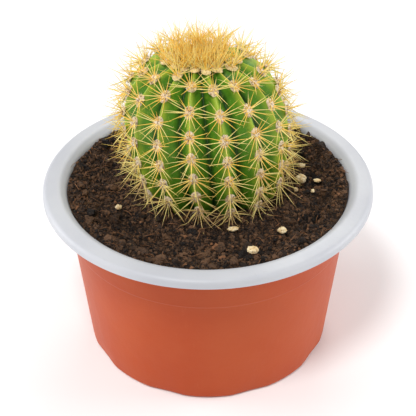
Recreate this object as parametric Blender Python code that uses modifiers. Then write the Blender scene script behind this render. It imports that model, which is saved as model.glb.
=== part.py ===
"""A round, ribbed cactus growing in a two-colour plastic bowl pot, at its real size, in metres, +Z up.

The origin is on the surface that the pot stands on, on the pot's axis. The front of the plant faces -Y.
Azimuths run from +X towards +Y. The pot is one sheet of two bonded layers, terracotta outside and grey
inside, and the grey layer shows on the rolled rim. The stem is one ribbed body. Each rib carries a row
of felted areoles with their spines, which touch one another along the crest of the rib.
"""

import bisect
import math

import bmesh
import bpy
from mathutils import Matrix, Vector, noise

MM = 0.001
UP = Vector((0, 0, 1))
SEAT_GAP = 0.3 * MM  # what rests on or in a neighbour keeps this distance

# Pot
POT_SEGMENTS = 45
RIM_RADIUS = 60.0 * MM
RIM_TOP = 66.5 * MM
RIM_WIDTH = 5.6 * MM
SKIRT_DROP = 3.4 * MM
FOOT_RADIUS = 45.4 * MM
WALL_SLOPE = 0.1055  # how much the wall's radius grows for each unit of height
STACK_RING_HEIGHT = 47.0 * MM
STACK_RING_STEP = 0.3 * MM
BASE_LIFT = 2.4 * MM
TERRACOTTA_THICKNESS = 0.7 * MM
GREY_THICKNESS = 0.5 * MM
SHEET = TERRACOTTA_THICKNESS + SEAT_GAP + GREY_THICKNESS

# Drainage: a shallow flute in the foot beside each hole
DRAIN_COUNT = 9
DRAIN_AZIMUTH = math.radians(-70)
DRAIN_HOLE_RADIUS = 3.5 * MM
DRAIN_HOLE_CIRCLE = 33.0 * MM
DRAIN_CUTTER_LENGTH = 8.0 * MM
FLUTE_DEPTH = 0.7 * MM
FLUTE_FULL_HEIGHT = 3.0 * MM
FLUTE_TOP = 9.0 * MM

# Potting mix
SOIL_LEVEL = 61.3 * MM
SOIL_RELIEF = 1.0 * MM
SOIL_RELIEF_SIZE = 13.0 * MM
SOIL_EDGE_RISE = 3.3 * MM  # the mix stands higher against the wall
SOIL_EDGE_START = 40.0 * MM
SOIL_RINGS = (49.0 * MM, 45.0 * MM, 41.0 * MM, 37.0 * MM, 32.0 * MM, 26.0 * MM, 18.0 * MM)

# Stem
STEM_CENTRE = Vector((-0.5 * MM, 5.0 * MM, 0.0))
STEM_LEAN = -0.09  # sideways shift of the axis for each unit of height above the widest level
STEM_RADIUS = 29.2 * MM
STEM_WIDEST = 88.0 * MM
STEM_ABOVE = 25.4 * MM
STEM_BELOW = 42.0 * MM
CROWN_FLATNESS = 0.64
BASE_FULLNESS = (2.2, 0.3636)
CROWN_DIP = 1.5 * MM
CROWN_DIP_SIZE = 7.0 * MM
RIB_COUNT = 15
RIB_STEP = 2 * math.pi / RIB_COUNT
FIRST_RIB = math.radians(-99.75)
GROOVE_DEPTH = 5.5 * MM
GROOVE_SHARE = 0.28  # near the axis a groove is this share of the distance to it
STEM_RINGS = 18
SOCKET_GAP = 0.5 * MM  # measured straight out from the crests, and less across the sloping grooves
STEM_COLUMNS = 4 * RIB_COUNT

# Areoles and spines
# Distances run along a rib's crest from the middle of the crown
FIRST_AREOLE_MM = (7.9, 9.5, 9.8, 12.4, 12.8, 8.4, 11.2, 9.0, 13.0, 8.8, 10.2, 12.2, 11.5, 9.4, 13.3)
AREOLE_STEPS_MM = (0.0, 9.3, 18.6, 27.0, 35.0, 43.0, 51.0, 58.0)
LAST_AREOLE = 66.0 * MM
AREOLE_RADIUS = 1.9 * MM
AREOLE_STRETCH = 1.2
AREOLE_HEIGHT = 1.1 * MM
AREOLE_TAPER = 0.8
AREOLE_SIDES = 8
SPINE_LENGTH = 8.5 * MM
MIDDLE_SPINE_SHARE = 0.8  # the spines that point up or down the rib are shorter
SPINE_RISE = math.radians(32)
STEEPEST_SPINE = math.radians(80)
CROWN_WOOL_RADIUS = 5.2 * MM
CROWN_WOOL_HEIGHT = 1.6 * MM
CROWN_CLEARANCE = 6.2 * MM  # how far the rows' spines stay from the stem's axis
CROWN_SPINES = 12
CROWN_SPINE_LENGTH = 9.5 * MM
CROWN_SHORT_SHARE = 0.75  # every other crown spine is younger and shorter
CROWN_RING_WIDTH = 1.5 * MM

# Pale grains of perlite and bark on the mix
GRAIN_DENTS = 0.3
# Each grain's centre x and y, length, width and height in mm, and its turn in degrees
GRAINS = (
    (34.4, 4.3, 4.6, 3.8, 3.2, 20),
    (32.2, -1.4, 2.6, 1.8, 1.6, 70),
    (40.4, 3.4, 3.4, 1.7, 1.4, 25),
    (38.2, -2.6, 2.2, 1.6, 1.5, 110),
    (25.7, -27.3, 4.2, 3.4, 2.4, 40),
    (8.6, -25.6, 4.4, 2.4, 1.8, 0),
    (15.2, -40.9, 4.8, 2.8, 2.0, -35),
    (-32.0, -12.0, 3.2, 2.4, 1.8, 60),
    (35.0, 13.5, 3.4, 2.6, 2.0, 10),
)


# ---------------------------------------------------------------- scene and materials


def clear_scene():
    for obj in list(bpy.data.objects):
        bpy.data.objects.remove(obj)


def new_collection(name):
    collection = bpy.data.collections.new(name)
    bpy.context.scene.collection.children.link(collection)
    return collection


def new_material(name, colour, roughness):
    material = bpy.data.materials.new(name)
    material.use_nodes = True
    shader = material.node_tree.nodes["Principled BSDF"]
    shader.inputs["Base Color"].default_value = (*colour, 1.0)
    shader.inputs["Roughness"].default_value = roughness
    shader.inputs["Metallic"].default_value = 0.0
    material.diffuse_color = (*colour, 1.0)
    return material


def add_object(name, mesh, material, collection):
    obj = bpy.data.objects.new(name, mesh)
    mesh.materials.clear()
    mesh.materials.append(material)
    collection.objects.link(obj)
    return obj


def mesh_from(bm, name):
    bmesh.ops.recalc_face_normals(bm, faces=bm.faces)
    mesh = bpy.data.meshes.new(name)
    bm.to_mesh(mesh)
    bm.free()
    return mesh


def shade(mesh, sharp_above=35):
    mesh.shade_smooth()
    mesh.set_sharp_from_angle(angle=math.radians(sharp_above))


def turned_mesh(name, profile, segments):
    """A closed mesh turned about Z. The profile runs from axis to axis, down its outer side."""
    points = [(radius, 0.0, height) for radius, height in profile]
    outline = bpy.data.meshes.new(name)
    outline.from_pydata(points, [(i, i + 1) for i in range(len(points) - 1)], [])
    guide = bpy.data.objects.new(name + "_guide", outline)
    bpy.context.scene.collection.objects.link(guide)
    screw = guide.modifiers.new("turn", "SCREW")
    screw.axis = "Z"
    screw.angle = 2 * math.pi
    screw.steps = screw.render_steps = segments
    screw.use_merge_vertices = True
    screw.merge_threshold = 0.00001
    graph = bpy.context.evaluated_depsgraph_get()
    mesh = bpy.data.meshes.new_from_object(guide.evaluated_get(graph))
    bpy.data.objects.remove(guide)
    mesh.name = name
    return mesh


def fade(value, start, end):
    """0 at start and 1 at end, smoothly between them."""
    share = min(1.0, max(0.0, (value - start) / (end - start)))
    return share * share * (3 - 2 * share)


# ---------------------------------------------------------------- pot


def wall_radius(height):
    return FOOT_RADIUS + WALL_SLOPE * height


def sheet_path():
    """(radius, height) along the sheet's outer face, from the middle of the base to the end of the rim."""
    skirt_radius = RIM_RADIUS - SHEET
    flange = RIM_TOP - SHEET
    flare_start = flange - 3.6 * MM
    flare_radius = wall_radius(flare_start) + STACK_RING_STEP
    rim_inner = RIM_RADIUS - RIM_WIDTH
    return [
        (0.0, BASE_LIFT),
        (37.6 * MM, BASE_LIFT),
        (40.4 * MM, 0.0),
        (44.0 * MM, 0.0),
        (wall_radius(1.3 * MM), 1.3 * MM),
        (wall_radius(FLUTE_TOP), FLUTE_TOP),
        (wall_radius(STACK_RING_HEIGHT), STACK_RING_HEIGHT),
        (wall_radius(STACK_RING_HEIGHT) + STACK_RING_STEP, STACK_RING_HEIGHT + 0.8 * MM),
        (flare_radius, flare_start),
        (flare_radius + 0.7 * MM, flare_start + 2.3 * MM),
        (rim_inner, flange),
        (skirt_radius, flange - 0.4 * MM),
        (skirt_radius, RIM_TOP - SKIRT_DROP),
    ]


def offset_path(path, distance):
    """The path moved by distance to its left, with mitred corners. Its first point stays on the axis."""
    moved = []
    for i, point in enumerate(path):
        before = path[max(i - 1, 0)]
        after = path[min(i + 1, len(path) - 1)]
        normals = []
        for a, b in ((before, point), (point, after)):
            length = math.hypot(b[0] - a[0], b[1] - a[1])
            if length:
                normals.append(((a[1] - b[1]) / length, (b[0] - a[0]) / length))
        n = [sum(v) / len(normals) for v in zip(*normals)]
        scale = distance / (n[0] ** 2 + n[1] ** 2)
        moved.append((point[0] + n[0] * scale, point[1] + n[1] * scale))
    moved[0] = (0.0, moved[0][1])
    return moved


def flute(mesh):
    """Draws the foot of the wall in beside each drain hole, alike for every layer that lies in the pot."""
    bm = bmesh.new()
    bm.from_mesh(mesh)
    for vertex in bm.verts:
        radius = math.hypot(vertex.co.x, vertex.co.y)
        azimuth = math.atan2(vertex.co.y, vertex.co.x)
        wave = max(0.0, math.cos(DRAIN_COUNT * (azimuth - DRAIN_AZIMUTH))) ** 1.5
        low = 1 - fade(vertex.co.z, FLUTE_FULL_HEIGHT, FLUTE_TOP)
        outer = fade(radius, 40.6 * MM, 42.4 * MM)
        if radius > 0:
            share = 1 - FLUTE_DEPTH * wave * low * outer / radius
            vertex.co.x *= share
            vertex.co.y *= share
    bmesh.ops.triangulate(bm, faces=bm.faces, quad_method="SHORT_EDGE")
    bm.to_mesh(mesh)
    bm.free()


def build_drain_cutters(collection):
    bm = bmesh.new()
    for i in range(DRAIN_COUNT):
        azimuth = DRAIN_AZIMUTH + 2 * math.pi * i / DRAIN_COUNT
        outward = Vector((math.cos(azimuth), math.sin(azimuth), 0.0))
        bmesh.ops.create_cone(
            bm, cap_ends=True, segments=12, radius1=DRAIN_HOLE_RADIUS, radius2=DRAIN_HOLE_RADIUS,
            depth=DRAIN_CUTTER_LENGTH,
            matrix=Matrix.Translation(outward * DRAIN_HOLE_CIRCLE + UP * BASE_LIFT),
        )
    cutter = bpy.data.objects.new("drain_cutters", mesh_from(bm, "drain_cutters"))
    collection.objects.link(cutter)
    cutter.hide_render = True
    cutter.display_type = "WIRE"
    return cutter


def build_pot(parts, cutters):
    path = sheet_path()
    drains = build_drain_cutters(cutters)
    terracotta = new_material("terracotta_plastic", (0.48, 0.10, 0.04), 0.45)
    grey = new_material("grey_plastic", (0.66, 0.66, 0.68), 0.4)
    layers = (
        ("pot_outer_layer", 0.0, TERRACOTTA_THICKNESS, terracotta),
        ("pot_inner_layer", SHEET - GREY_THICKNESS, SHEET, grey),
    )
    for name, outer, inner, material in layers:
        profile = offset_path(path, inner) + offset_path(path, outer)[::-1]
        mesh = turned_mesh(name, profile, POT_SEGMENTS)
        flute(mesh)
        shade(mesh)
        layer = add_object(name, mesh, material, parts)
        cut = layer.modifiers.new("drain_holes", "BOOLEAN")
        cut.operation = "DIFFERENCE"
        cut.solver = "EXACT"
        cut.object = drains


# ---------------------------------------------------------------- stem


def crest_point(turn):
    """(radius, height) on a rib's crest. turn is 0 at the crown's centre and pi at the root."""
    level = math.cos(turn)
    if level >= 0:
        radius = STEM_RADIUS * math.sin(turn) ** CROWN_FLATNESS
        height = STEM_WIDEST + STEM_ABOVE * level
    else:
        power, root = BASE_FULLNESS
        radius = STEM_RADIUS * max(0.0, 1 - (-level) ** power) ** root
        height = STEM_WIDEST + STEM_BELOW * level
    return radius, height - CROWN_DIP * math.exp(-((radius / CROWN_DIP_SIZE) ** 2))


def crest_normal(turn):
    """Unit normal of the crest line, pointing out of the stem, as (radial, vertical)."""
    step = 0.01
    a = crest_point(max(0.001, turn - step))
    b = crest_point(min(math.pi - 0.001, turn + step))
    length = math.hypot(b[0] - a[0], b[1] - a[1])
    return (a[1] - b[1]) / length, (b[0] - a[0]) / length


def crest_lengths(steps=1200):
    """Turn angles and their distances along the crest from the crown's centre."""
    turns = [0.8 * math.pi * i / steps for i in range(steps + 1)]
    lengths = [0.0]
    for a, b in zip(turns, turns[1:]):
        p, q = crest_point(a), crest_point(b)
        lengths.append(lengths[-1] + math.hypot(q[0] - p[0], q[1] - p[1]))
    return turns, lengths


TURNS, LENGTHS = crest_lengths()


def turn_at(distance):
    return TURNS[bisect.bisect_left(LENGTHS, distance)]


def in_place(radius, azimuth, height):
    """A point of the leaning plant, from its distance to the stem's axis, azimuth and height."""
    return STEM_CENTRE + Vector((
        radius * math.cos(azimuth) + STEM_LEAN * (height - STEM_WIDEST),
        radius * math.sin(azimuth),
        height,
    ))


def stem_mesh(name, grow=0.0):
    """The ribbed stem. grow moves its skin outwards, for the socket that it leaves in the mix."""
    bm = bmesh.new()
    bmesh.ops.create_uvsphere(bm, u_segments=STEM_COLUMNS, v_segments=STEM_RINGS, radius=1.0)
    for vertex in bm.verts:
        turn = math.acos(max(-1.0, min(1.0, vertex.co.z)))
        column = math.atan2(vertex.co.y, vertex.co.x)
        across = abs((column / RIB_STEP + 0.5) % 1.0 - 0.5) * 2  # 0 on a crest, 1 in a groove
        radius, height = crest_point(turn)
        out, up = crest_normal(turn)
        depth = min(GROOVE_DEPTH, GROOVE_SHARE * radius) * across
        radius = max(0.0, radius + (grow - depth) * out)
        vertex.co = in_place(radius, column + FIRST_RIB, height + (grow - depth) * up)
    return mesh_from(bm, name)


def build_stem(parts):
    mesh = stem_mesh("cactus_stem")
    shade(mesh, 50)
    add_object("cactus_stem", mesh, new_material("green_skin", (0.09, 0.25, 0.02), 0.45), parts)


# ---------------------------------------------------------------- potting mix


def soil_height(x, y):
    """Height of the mix's uneven surface."""
    where = Vector((x, y, 0.0)) / SOIL_RELIEF_SIZE
    edge = SOIL_EDGE_RISE * fade(math.hypot(x, y), SOIL_EDGE_START, SOIL_RINGS[0])
    return SOIL_LEVEL + edge + SOIL_RELIEF * noise.noise(where)


def build_soil(parts, cutters):
    lining = offset_path(sheet_path(), SHEET + SEAT_GAP)
    below = [p for p in lining if p[1] < SOIL_LEVEL - 4 * MM]
    edge_radius = wall_radius(SOIL_LEVEL) - SHEET - SEAT_GAP
    top = [(0.0, SOIL_LEVEL)] + [(r, SOIL_LEVEL) for r in reversed(SOIL_RINGS)]
    mesh = turned_mesh("soil", top + [(edge_radius, SOIL_LEVEL)] + below[::-1], POT_SEGMENTS)
    flute(mesh)
    for vertex in mesh.vertices:
        if vertex.co.z > SOIL_LEVEL - 0.01 * MM:
            vertex.co.z = soil_height(vertex.co.x, vertex.co.y)
    shade(mesh, 60)
    soil = add_object("soil", mesh, new_material("potting_mix", (0.03, 0.015, 0.008), 0.95), parts)
    socket = bpy.data.objects.new("stem_socket_cutter", stem_mesh("stem_socket_cutter", SOCKET_GAP))
    cutters.objects.link(socket)
    socket.hide_render = True
    socket.display_type = "WIRE"
    cut = soil.modifiers.new("stem_socket", "BOOLEAN")
    cut.operation = "DIFFERENCE"
    cut.solver = "EXACT"
    cut.object = socket


def build_grains(parts):
    material = new_material("pale_grain", (0.62, 0.42, 0.18), 0.8)
    for i, (x, y, length, width, height, turn) in enumerate(GRAINS, 1):
        bm = bmesh.new()
        bmesh.ops.create_icosphere(bm, subdivisions=1, radius=1.0)
        footprint = [(x + dx * length / 2, y + dy * width / 2) for dx in (-1, 0, 1) for dy in (-1, 0, 1)]
        seat = max(soil_height(fx * MM, fy * MM) for fx, fy in footprint) + SEAT_GAP / 2
        for vertex in bm.verts:
            vertex.co *= 1 + GRAIN_DENTS * noise.noise(vertex.co * 1.7 + Vector((i * 3.1, 0.0, 0.0)))
        for axis, size in enumerate((length, width, height)):
            reach = max(abs(vertex.co[axis]) for vertex in bm.verts)
            for vertex in bm.verts:
                vertex.co[axis] *= size * MM / (2 * reach)
        turned = Matrix.Rotation(math.radians(turn), 3, "Z")
        bmesh.ops.rotate(bm, verts=bm.verts, cent=Vector(), matrix=turned)
        lowest = min(vertex.co.z for vertex in bm.verts)
        bmesh.ops.translate(bm, verts=bm.verts, vec=(x * MM, y * MM, seat - lowest))
        mesh = mesh_from(bm, f"grain_{i}")
        add_object(f"grain_{i}", mesh, material, parts)


# ---------------------------------------------------------------- areoles and spines


class Seat:
    """The place of one areole on a rib: its point on the crest and the directions there."""

    def __init__(self, rib, distance):
        self.azimuth = FIRST_RIB + rib * RIB_STEP
        turn = turn_at(distance)
        self.radius, height = crest_point(turn)
        radial, vertical = crest_normal(turn)
        outward = Vector((math.cos(self.azimuth), math.sin(self.azimuth), 0.0))
        self.normal = (outward * radial + UP * vertical).normalized()
        self.side = Vector((-outward.y, outward.x, 0.0))
        self.down = self.side.cross(self.normal)
        self.point = in_place(self.radius, self.azimuth, height)
        self.size = min(1.0, self.half_width(self.point) / (AREOLE_RADIUS * 1.1))

    def from_axis(self, point):
        """How far a point lies across the rib's middle plane, and how far out from the stem's axis."""
        away = point - in_place(0.0, 0.0, point.z)
        return away.dot(self.side), away.dot(self.side.cross(UP))

    def half_width(self, point):
        """How far a point may lie from the rib's middle plane before it nears the next rib's row."""
        return self.from_axis(point)[1] * math.tan(RIB_STEP / 2) - SEAT_GAP

    def spine_tip(self, base, angle, length):
        """Where a spine ends. It leaves at angle from the way down, and steepens to stay over its rib."""
        along = self.down * math.cos(angle) + self.side * math.sin(angle)
        rise = SPINE_RISE
        tip = base
        while rise < STEEPEST_SPINE:
            tip = base + (along * math.cos(rise) + self.normal * math.sin(rise)) * length
            across, away = self.from_axis(tip)
            if abs(across) < self.half_width(tip) and away > CROWN_CLEARANCE:
                break
            rise += math.radians(4)
        across, away = self.from_axis(tip)
        outward = self.side.cross(UP)
        tip += outward * max(0.0, CROWN_CLEARANCE - away)
        limit = self.half_width(tip)
        tip += self.side * (max(-limit, min(limit, across)) - across)
        tip.z = max(tip.z, SOIL_LEVEL + SOIL_RELIEF + SEAT_GAP)
        return tip


def add_pad(bm, seat):
    """A low felt pad. Returns its side faces by how many of its sides they lie from the way down."""
    radius = AREOLE_RADIUS * seat.size
    height = AREOLE_HEIGHT * seat.size
    frame = Matrix((seat.down * AREOLE_STRETCH, seat.side, seat.normal)).transposed().to_4x4()
    middle = seat.point + seat.normal * (SEAT_GAP + height / 2)
    made = bmesh.ops.create_cone(
        bm, cap_ends=True, segments=AREOLE_SIDES, radius1=radius, radius2=radius * AREOLE_TAPER, depth=height,
        matrix=Matrix.Translation(middle) @ frame @ Matrix.Rotation(math.pi / AREOLE_SIDES, 4, "Z"),
    )
    faces = {face for vertex in made["verts"] for face in vertex.link_faces}
    sides = {}
    for face in faces:
        away = face.calc_center_median() - middle
        is_cap = abs(away.dot(seat.normal)) > height / 4
        if is_cap:
            continue
        angle = math.atan2(away.dot(seat.side), away.dot(seat.down) / AREOLE_STRETCH)
        sides[round(angle * AREOLE_SIDES / (2 * math.pi)) % AREOLE_SIDES] = face
    return sides


def grow_spine(bm, face, tip):
    """Draws one side face of a pad out into a spine."""
    made = bmesh.ops.poke(bm, faces=[face])
    made["verts"][0].co = tip


def build_row(rib, material, parts):
    """One rib's areoles. The lowest spine of each reaches the next areole down, which joins the row."""
    bm = bmesh.new()
    distances = [(FIRST_AREOLE_MM[rib] + step) * MM for step in AREOLE_STEPS_MM]
    seats = [Seat(rib, distance) for distance in distances if distance < LAST_AREOLE]
    pads = [add_pad(bm, seat) for seat in seats]
    half_turn = AREOLE_SIDES // 2
    for upper, lower in zip(pads, pads[1:]):
        ends = [upper.pop(0), lower.pop(half_turn)]
        edges = [edge for face in ends for edge in face.edges]
        bmesh.ops.delete(bm, geom=ends, context="FACES_ONLY")
        bmesh.ops.bridge_loops(bm, edges=edges)
    for seat, sides in zip(seats, pads):
        for eighth, face in sorted(sides.items()):
            angle = 2 * math.pi * eighth / AREOLE_SIDES
            length = SPINE_LENGTH * (MIDDLE_SPINE_SHARE if eighth in (0, half_turn) else 1.0)
            grow_spine(bm, face, seat.spine_tip(face.calc_center_median(), angle, length))
    name = f"areoles_and_spines_rib_{rib + 1:02d}"
    add_object(name, mesh_from(bm, name), material, parts)


def build_crown(material, parts):
    """The felt in the middle of the crown, with its upright young spines."""
    bm = bmesh.new()
    foot = in_place(0.0, 0.0, crest_point(0.0)[1])
    middle = foot + UP * (CROWN_DIP / 2 + SEAT_GAP + CROWN_WOOL_HEIGHT / 2)
    made = bmesh.ops.create_cone(
        bm, cap_ends=True, segments=CROWN_SPINES, radius1=CROWN_WOOL_RADIUS * AREOLE_TAPER,
        radius2=CROWN_WOOL_RADIUS, depth=CROWN_WOOL_HEIGHT, matrix=Matrix.Translation(middle),
    )
    faces = {face for vertex in made["verts"] for face in vertex.link_faces}
    top = max(faces, key=lambda face: face.calc_center_median().z)
    ring = bmesh.ops.inset_region(bm, faces=[top], thickness=CROWN_RING_WIDTH)["faces"]
    ring.sort(key=lambda face: math.atan2(*(face.calc_center_median() - foot).yx))
    for i, face in enumerate(ring):
        length = CROWN_SPINE_LENGTH * (1.0 if i % 2 else CROWN_SHORT_SHARE)
        grow_spine(bm, face, face.calc_center_median() + UP * length)
    grow_spine(bm, top, top.calc_center_median() + UP * CROWN_SPINE_LENGTH)
    add_object("crown_wool_and_spines", mesh_from(bm, "crown_wool_and_spines"), material, parts)


def build_spines(parts):
    material = new_material("golden_spines", (0.75, 0.48, 0.08), 0.5)
    for rib in range(RIB_COUNT):
        build_row(rib, material, parts)
    build_crown(material, parts)


def main():
    clear_scene()
    parts = new_collection("potted_round_cactus")
    cutters = new_collection("cutters")
    build_pot(parts, cutters)
    build_stem(parts)
    build_soil(parts, cutters)
    build_grains(parts)
    build_spines(parts)


main()
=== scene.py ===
"""Potted round cactus: the fine surfaces of the plant, its mix and its pot, laid out as a Blender add-on."""

import math

import bmesh
import bpy
import numpy as np
from bpy.props import FloatProperty, FloatVectorProperty, IntProperty, PointerProperty
from mathutils import Matrix, Vector, noise


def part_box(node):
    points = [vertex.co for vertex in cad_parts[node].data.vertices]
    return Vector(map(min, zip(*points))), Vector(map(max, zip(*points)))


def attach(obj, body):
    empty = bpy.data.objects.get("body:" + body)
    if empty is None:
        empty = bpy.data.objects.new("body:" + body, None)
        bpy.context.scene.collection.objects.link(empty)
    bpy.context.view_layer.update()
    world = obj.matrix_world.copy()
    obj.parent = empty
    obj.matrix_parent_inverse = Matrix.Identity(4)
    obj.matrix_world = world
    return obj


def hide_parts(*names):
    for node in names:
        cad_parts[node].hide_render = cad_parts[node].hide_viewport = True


bl_info = {
    "name": "Potted Round Cactus",
    "version": (1, 0, 0),
    "blender": (4, 5, 0),
    "location": "3D View > Sidebar > Cactus",
    "description": "Makes a small ribbed cactus with golden spines in a two-colour plastic pot",
    "category": "Add Mesh",
}

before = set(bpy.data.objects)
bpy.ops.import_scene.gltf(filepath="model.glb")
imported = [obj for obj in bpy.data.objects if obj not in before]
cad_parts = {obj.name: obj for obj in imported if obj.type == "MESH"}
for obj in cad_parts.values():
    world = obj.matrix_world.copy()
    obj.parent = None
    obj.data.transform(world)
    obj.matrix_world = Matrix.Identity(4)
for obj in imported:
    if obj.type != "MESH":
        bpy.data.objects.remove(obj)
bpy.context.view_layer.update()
MM = 0.001
UP = np.array((0.0, 0.0, 1.0))
RIM_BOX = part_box("pot_inner_layer")
STEM_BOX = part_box("cactus_stem")
ROW_NODES = sorted(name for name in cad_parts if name.startswith("areoles_and_spines_rib"))
GRAIN_NODES = sorted(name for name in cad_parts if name.startswith("grain"))

# The base of the pot: its foot ring, its drain holes and the flutes beside them.
FOOT_RING_START = 37.6 * MM
FOOT_RING_RADIUS = 40.4 * MM
DRAIN_COUNT = 9
FIRST_DRAIN_DEGREES = -70
DRAIN_CIRCLE = 33 * MM
DRAIN_RADIUS = 3.5 * MM
DRAIN_LEVEL = 2.4 * MM
DRAIN_CUT = 8 * MM
FLUTE_FULL_HEIGHT = 3 * MM
FLUTE_TOP = 9 * MM
WAVINESS = 0.12 * MM

# The potting mix stands higher against the wall.
MIX_LEVEL = 61.3 * MM
MIX_EDGE_RISE = 3.6 * MM
MIX_EDGE_START = 40 * MM
MIX_EDGE_END = 50 * MM

# The stem: the line of its crests, its ribs and where their areoles sit.
STEM_CENTRE = np.array((-0.5 * MM, 5.0 * MM, 0.0))
STEM_LEAN = -0.09
CROWN_FLATNESS = 0.64
BASE_FULLNESS = (2.2, 0.3636)
CROWN_DIP = 1.5 * MM
CROWN_DIP_SIZE = 7 * MM
FIRST_RIB = math.radians(-99.75)
RIB_COLUMNS = 28
STEM_RINGS = 260
GROOVE_SHARE = 0.28  # near the axis a groove is this share of the distance to it
GROOVE_ROUNDING = 0.13
FIRST_AREOLE_MM = (7.9, 9.5, 9.8, 12.4, 12.8, 8.4, 11.2, 9.0, 13.0, 8.8, 10.2, 12.2, 11.5, 9.4, 13.3)
AREOLE_STEPS_MM = (0.0, 9.3, 18.6, 27.0, 35.0, 43.0, 51.0, 58.0)
LAST_AREOLE = 68.5 * MM

# The spines of an areole: a comb to each side of straight down the rib, and others between the combs.
COMB_ANGLES = np.radians(np.array((28, 50, 72, 94, 116, 140)))
COMB_LENGTHS = (0.85, 0.98, 1.08, 1.05, 0.95, 0.8)
COMB_RISE = math.radians(22)
MIDDLE_ANGLES = (0.0, math.pi, 0.5, -0.5, 2.6, -2.6)
MIDDLE_RISES = np.radians((26, 40, 58, 64, 70, 62))
MIDDLE_LENGTHS = (0.8, 0.75, 1.0, 0.95, 0.85, 0.9)
STEEPEST_SPINE = math.radians(86)
FULL_FAN_RADIUS = 22 * MM  # nearer to the axis the ribs crowd and the spines stand steeper
MISSING_SPINES = 0.08
SPINE_POINTS = 7
SPINE_SIDES = 6
PAD_STRETCH = 1.32
PAD_HAIRS = 42

# The crown: its felt, the very young areoles round it and the upright spines in it.
CROWN_PAD = 4.2 * MM
CROWN_HAIRS = 420
YOUNG_AREOLES = ((4.2 * MM, 0.72), (7.2 * MM, 0.5))  # (distance above a rib's first areole, scale)
CROWN_SPINES = 20


# ---------------- settings


def length(name, description, default):
    return FloatProperty(name=name, description=description, default=default, unit="LENGTH", precision=5)


def colour(name, description, default):
    return FloatVectorProperty(
        name=name, description=description, default=default, size=3, subtype="COLOR", min=0.0, max=1.0
    )


def angle(name, description, degrees):
    radians = math.radians(degrees)
    return FloatProperty(name=name, description=description, default=radians, subtype="ANGLE")


def power(name, description, default):
    return FloatProperty(name=name, description=description, default=default, subtype="POWER")


class PotSettings(bpy.types.PropertyGroup):
    rim_radius: length("Rim radius", "Outer radius of the rolled rim", RIM_BOX[1][0])
    rim_top: length("Rim height", "Height of the rim's top", RIM_BOX[1][2])
    rim_width: length("Rim width", "Width of the rim's flat top", 5.6 * MM)
    skirt_drop: length("Skirt", "How far the rim's skirt hangs down", 3.4 * MM)
    foot_radius: length("Foot radius", "Radius of the wall, drawn down to the ground", 45.4 * MM)
    ring_height: length("Stacking ring height", "Height of the small step in the wall", 47.0 * MM)
    ring_step: length("Stacking ring step", "How far the wall steps out", 0.3 * MM)
    base_lift: length("Base lift", "How far the base stands off the ground", 2.4 * MM)
    sheet: length("Sheet", "Thickness of both layers together", 1.5 * MM)
    flute_depth: length("Flute depth", "How far the foot is drawn in beside a drain hole", 0.7 * MM)
    slope: FloatProperty(name="Wall slope", description="Growth of the radius with height", default=0.1055)
    terracotta: colour("Terracotta", "Colour of the outer layer", (0.47, 0.060, 0.004))
    terracotta_pale: colour("Pale terracotta", "Colour where the layer is drawn thin", (0.50, 0.078, 0.012))
    grey: colour("Grey", "Colour of the inner layer", (0.52, 0.53, 0.57))


class StemSettings(bpy.types.PropertyGroup):
    radius: length("Radius", "Distance of the crests from the axis", 29.2 * MM)
    widest: length("Widest level", "Height at which the stem is widest", 88.0 * MM)
    above: length("Rise above", "Height of the crown above the widest level", 25.4 * MM)
    below: length("Depth below", "Depth of the root collar below the widest level", 42.0 * MM)
    groove: length("Groove depth", "Depth of the grooves between ribs", 6.0 * MM)
    swelling: length("Swelling", "How far a crest swells out under an areole", 0.55 * MM)
    ribs: IntProperty(name="Ribs", description="Number of ribs", default=len(ROW_NODES), min=8, max=30)
    crest_green: colour("Crest", "Colour along the crests", (0.36, 0.50, 0.035))
    flank_green: colour("Flank", "Colour of the ribs' sides", (0.085, 0.25, 0.010))
    # The groove colour is painted shade: a very dark green that stands for the shade deep in the grooves.
    groove_painted_shade: colour("Groove", "Colour deep in the grooves", (0.010, 0.055, 0.003))


class SpineSettings(bpy.types.PropertyGroup):
    length: length("Length", "Length of a full-grown spine", 9.3 * MM)
    thickness: length("Thickness", "Radius of a spine at its base", 0.19 * MM)
    pad_width: length("Pad width", "Half the width of a felt pad", 1.75 * MM)
    pad_height: length("Pad height", "Height of a felt pad", 1.15 * MM)
    golden: colour("Golden", "Colour of young spines", (0.95, 0.56, 0.035))
    straw: colour("Straw", "Colour of pale spines", (0.95, 0.78, 0.24))
    tan: colour("Tan", "Colour of old spines near the mix", (0.55, 0.34, 0.12))
    tip: colour("Tip", "Colour of the dark tips", (0.38, 0.11, 0.03))
    felt: colour("Felt", "Colour of the felt", (0.80, 0.62, 0.40))
    felt_young: colour("Young felt", "Colour of the felt at the crown", (0.95, 0.74, 0.32))
    felt_dark: colour("Dark felt", "Colour of the felt's specks", (0.30, 0.15, 0.07))


class MixSettings(bpy.types.PropertyGroup):
    crumbs: IntProperty(name="Crumbs", description="Number of small crumbs", default=15000, min=0)
    clods: IntProperty(name="Clods", description="Number of larger clods", default=420, min=0)
    fibres: IntProperty(name="Fibres", description="Number of fibres", default=260, min=0)
    dark: colour("Dark peat", "Colour of moist peat", (0.006, 0.003, 0.002))
    brown: colour("Brown peat", "Colour of drier crumbs", (0.17, 0.086, 0.042))
    rust: colour("Rust", "Colour of fibres and bark", (0.30, 0.13, 0.055))
    grain: colour("Grain", "Colour of the pale grains", (0.72, 0.50, 0.24))


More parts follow.
